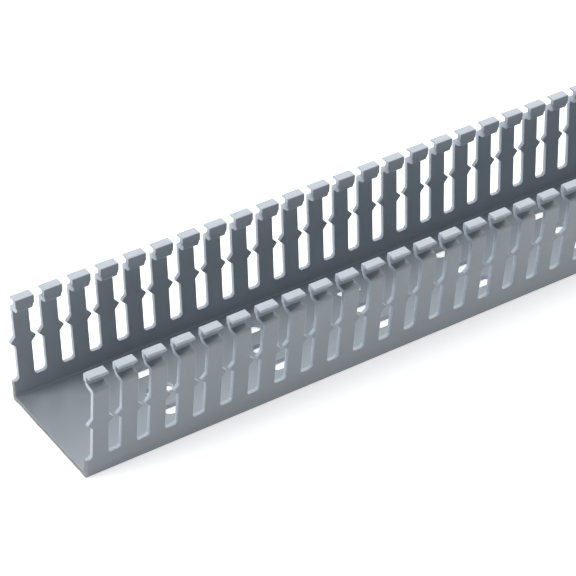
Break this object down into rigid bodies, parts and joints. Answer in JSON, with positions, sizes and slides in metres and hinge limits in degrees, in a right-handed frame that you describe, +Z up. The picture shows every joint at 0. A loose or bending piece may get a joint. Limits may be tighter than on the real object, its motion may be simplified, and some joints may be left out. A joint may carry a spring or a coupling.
{
  "type": "slotted wire duct",
  "caption": "Open-topped U-shaped duct of grey plastic with slotted side walls; wires lie in it and leave through the slots, and its floor has elongated mounting slots.",
  "frame": {"origin": "bottom centre of the duct: middle of its length and width, on the underside", "axes": "+X along the duct, +Y across it, +Z up, out of the open side"},
  "size_m": [0.5, 0.0634, 0.0486],
  "materials": {
    "grey_pvc": "satin extruded rigid PVC, punched and sawn edges a little lighter"
  },
  "bodies": {
    "root": {"duct_base": "grey_pvc"}
  },
  "joints": []
}
